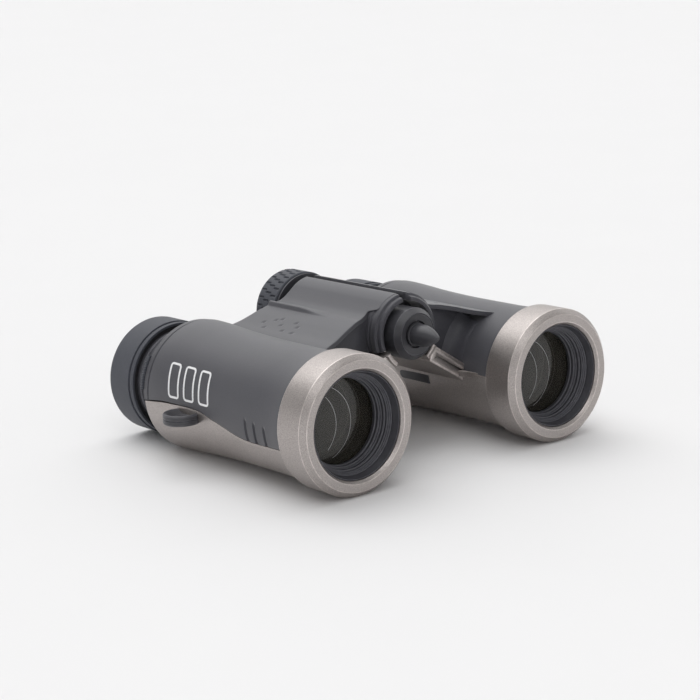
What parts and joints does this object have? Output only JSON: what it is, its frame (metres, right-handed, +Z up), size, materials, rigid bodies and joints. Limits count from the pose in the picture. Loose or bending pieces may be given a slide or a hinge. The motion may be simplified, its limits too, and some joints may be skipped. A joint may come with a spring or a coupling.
{
  "type": "binoculars",
  "caption": "Compact roof-prism binoculars with a centre hinge, rear focus wheel with a pointed nose cone, waisted two-tone barrels and twist-up eyecups.",
  "frame": {"origin": "on the standing surface, under the middle of the object's bounding box", "axes": "+X to the user's left, +Y from the objectives to the eyecups along the barrels, +Z up"},
  "size_m": [0.1112, 0.0846, 0.0417],
  "materials": {
    "soft_touch_black": "soft-touch coat, fine grain",
    "warm_grey_paint": "warm grey metallic paint, fine speckle",
    "black_anodised": "black anodised, satin",
    "satin_black": "satin",
    "eyecup_rubber": "matte",
    "wheel_rubber": "matte, ribbed",
    "wheel_plastic": "satin",
    "inner_plastic": "matte",
    "cast_aluminium": "as cast",
    "steel": "satin",
    "brass": "turned",
    "coated_glass": "anti-reflection coating",
    "prism_glass": "polished"
  },
  "bodies": {
    "right_half": {"right_upper_shell": "soft_touch_black", "right_lower_shell": "warm_grey_paint", "right_objective_ring": "warm_grey_paint", "right_objective_retainer": "black_anodised", "right_objective_cell": "black_anodised", "right_objective_crown_lens": "coated_glass", "right_objective_flint_lens": "coated_glass", "right_pentaprism": "prism_glass", "right_roof_prism": "prism_glass", "right_eyecup_guide": "satin_black", "right_strap_lug": "satin_black", "right_case_screws": "steel", "right_prism_holder": "inner_plastic", "right_chassis": "cast_aluminium", "hinge_tube": "steel", "hinge_washers": "steel", "nose_cap": "satin_black", "nose_cone": "satin_black"},
    "left_half": {"left_upper_shell": "soft_touch_black", "left_lower_shell": "warm_grey_paint", "left_objective_ring": "warm_grey_paint", "left_objective_retainer": "black_anodised", "left_objective_cell": "black_anodised", "left_objective_crown_lens": "coated_glass", "left_objective_flint_lens": "coated_glass", "left_pentaprism": "prism_glass", "left_roof_prism": "prism_glass", "left_eyecup_guide": "satin_black", "left_strap_lug": "satin_black", "left_case_screws": "steel", "left_prism_holder": "inner_plastic", "left_chassis": "cast_aluminium", "left_ocular_cell": "satin_black", "left_field_lens": "coated_glass", "left_eye_lens": "coated_glass"},
    "focus_wheel": {"focus_wheel": "black_anodised", "wheel_grip": "wheel_rubber", "wheel_cap": "black_anodised", "focus_spindle": "steel"},
    "focus_carriage": {"focus_nut": "brass", "right_focus_arm": "steel", "right_focus_cell": "black_anodised", "right_focus_lens": "coated_glass"},
    "left_focus_group": {"left_focus_arm": "steel", "left_focus_cell": "black_anodised", "left_focus_lens": "coated_glass"},
    "dioptre_ring": {"dioptre_ring": "wheel_plastic"},
    "right_ocular": {"right_ocular_cell": "satin_black", "right_field_lens": "coated_glass", "right_eye_lens": "coated_glass"},
    "right_eyecup_carrier": {"right_eyecup_carrier": "inner_plastic"},
    "right_eyecup": {"right_eyecup_core": "inner_plastic", "right_eyecup": "eyecup_rubber"},
    "left_eyecup_carrier": {"left_eyecup_carrier": "inner_plastic"},
    "left_eyecup": {"left_eyecup_core": "inner_plastic", "left_eyecup": "eyecup_rubber"}
  },
  "joints": [
    {"name": "interpupillary_hinge", "type": "hinge", "parent": "right_half", "child": "left_half", "pos_m": [0, 0, 0.03129], "axis": [0, 1, 0], "range_deg": [-13, 31]},
    {"name": "focus_turn", "type": "hinge", "parent": "right_half", "child": "focus_wheel", "pos_m": [0, 0.02, 0.03129], "axis": [0, 1, 0], "range_deg": [-360, 360]},
    {"name": "right_focus_slide", "type": "slide", "parent": "right_half", "child": "focus_carriage", "axis": [0, 1, 0], "range_m": [-0.00151, 0.00151]},
    {"name": "left_focus_slide", "type": "slide", "parent": "left_half", "child": "left_focus_group", "axis": [0, 1, 0], "range_m": [-0.00151, 0.00151]},
    {"name": "dioptre_turn", "type": "hinge", "parent": "right_half", "child": "dioptre_ring", "pos_m": [-0.03304, 0.024, 0.0172], "axis": [0, 1, 0], "range_deg": [-20.3, 20.3]},
    {"name": "dioptre_slide", "type": "slide", "parent": "right_half", "child": "right_ocular", "axis": [0, 1, 0], "range_m": [-0.0007, 0.0007]},
    {"name": "right_eyecup_slide", "type": "slide", "parent": "right_half", "child": "right_eyecup_carrier", "axis": [0, 1, 0], "range_m": [-0.00692, 0]},
    {"name": "right_eyecup_turn", "type": "hinge", "parent": "right_eyecup_carrier", "child": "right_eyecup", "pos_m": [-0.03304, 0.036, 0.0172], "axis": [0, 1, 0], "range_deg": [-120, 0]},
    {"name": "left_eyecup_slide", "type": "slide", "parent": "left_half", "child": "left_eyecup_carrier", "axis": [0, 1, 0], "range_m": [-0.00692, 0]},
    {"name": "left_eyecup_turn", "type": "hinge", "parent": "left_eyecup_carrier", "child": "left_eyecup", "pos_m": [0.03304, 0.036, 0.0172], "axis": [0, 1, 0], "range_deg": [-120, 0]}
  ],
  "couplings": [
    {"joint": "right_focus_slide", "follows": "focus_turn", "m_per_rad": 0.00023873},
    {"joint": "left_focus_slide", "follows": "focus_turn", "m_per_rad": 0.00023873},
    {"joint": "dioptre_turn", "follows": "dioptre_slide", "rad_per_m": 500},
    {"joint": "right_eyecup_slide", "follows": "right_eyecup_turn", "m_per_rad": 0.0032945},
    {"joint": "left_eyecup_slide", "follows": "left_eyecup_turn", "m_per_rad": 0.0032945}
  ]
}
